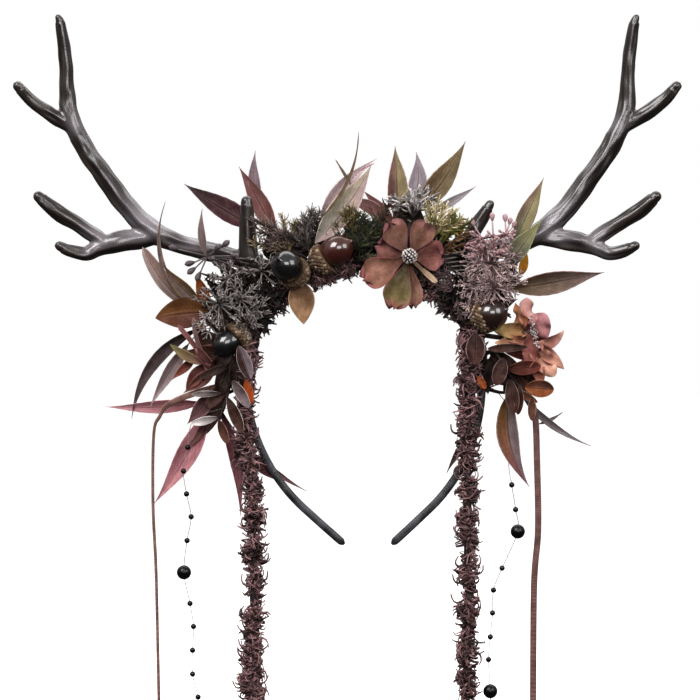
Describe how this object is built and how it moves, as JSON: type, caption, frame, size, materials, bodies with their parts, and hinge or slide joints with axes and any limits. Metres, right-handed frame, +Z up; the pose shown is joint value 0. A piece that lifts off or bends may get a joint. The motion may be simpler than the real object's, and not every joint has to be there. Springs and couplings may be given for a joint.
{
  "type": "antler headband",
  "caption": "Costume headband: a sprung hoop wound with shaggy trim, carrying moulded antlers, silk leaves, fabric flowers and acorns, with trim, ribbon and bead strings hanging at the sides",
  "frame": {"origin": "the underside of the wound hoop at its crown, where it rests on the head", "axes": "+Z up, +Y to the back of the head, +X to the right seen from the front"},
  "size_m": [0.3668, 0.048, 0.38],
  "materials": {
    "hoop": "satin black",
    "wrap": "shaggy",
    "antler": "gloss dark brown",
    "trail": "shaggy",
    "ribbon": "satin",
    "bead": "gloss black",
    "petal": "matt",
    "heart": "silver beaded",
    "nut_black": "satin black",
    "nut_brown": "satin brown",
    "acorn_cap": "scaled tan",
    "leaf_plum": "matt",
    "leaf_brown": "matt",
    "leaf_dark": "matt",
    "leaf_burgundy": "matt",
    "leaf_grey": "matt",
    "leaf_olive": "matt",
    "leaf_gold": "matt",
    "leaf_oval": "matt",
    "leaf_rust": "matt",
    "leaf_tan": "matt",
    "stalk": "dry grey",
    "bud_dark": "dry",
    "bud_pink": "dry pink",
    "sprig_gold": "dry",
    "sprig_dark": "dry",
    "sprig_green": "dry",
    "sprig_brown": "dry",
    "sprig_grey": "dry"
  },
  "bodies": {
    "root": {"headband": "hoop", "band_wrap": "wrap", "antler_left": "antler", "antler_right": "antler", "fringe_trail_left": "trail", "fringe_trail_right": "trail", "ribbon_left": "ribbon", "ribbon_right": "ribbon", "bead_string_left": "bead", "bead_string_right": "bead", "flower_front_petals": "petal", "flower_front_heart": "heart", "flower_side_petals": "petal", "flower_side_heart": "heart", "acorn_a_nut": "nut_black", "acorn_b_nut": "nut_brown", "acorn_c_nut": "nut_black", "acorn_d_nut": "nut_brown", "acorn_a_cap": "acorn_cap", "acorn_b_cap": "acorn_cap", "acorn_c_cap": "acorn_cap", "acorn_d_cap": "acorn_cap", "willow_left_top": "leaf_plum", "willow_left_side": "leaf_brown", "willow_left_low": "leaf_dark", "willow_left_tail": "leaf_burgundy", "willow_centre_left": "leaf_grey", "willow_centre": "leaf_grey", "willow_right": "leaf_olive", "willow_right_tail": "leaf_gold", "oval_spray_left": "leaf_oval", "oval_spray_right": "leaf_oval", "rounded_leaf_left": "leaf_rust", "tan_leaf": "leaf_tan", "umbel_left": "stalk", "umbel_right": "stalk", "bud_sprig_left": "bud_dark", "bud_spray_right": "bud_pink", "sprig_gold": "sprig_gold", "sprig_dark": "sprig_dark", "sprig_green": "sprig_green", "sprig_brown": "sprig_brown", "sprig_grey": "sprig_grey", "sprig_olive": "sprig_gold", "sprig_pink": "sprig_grey"}
  },
  "joints": []
}
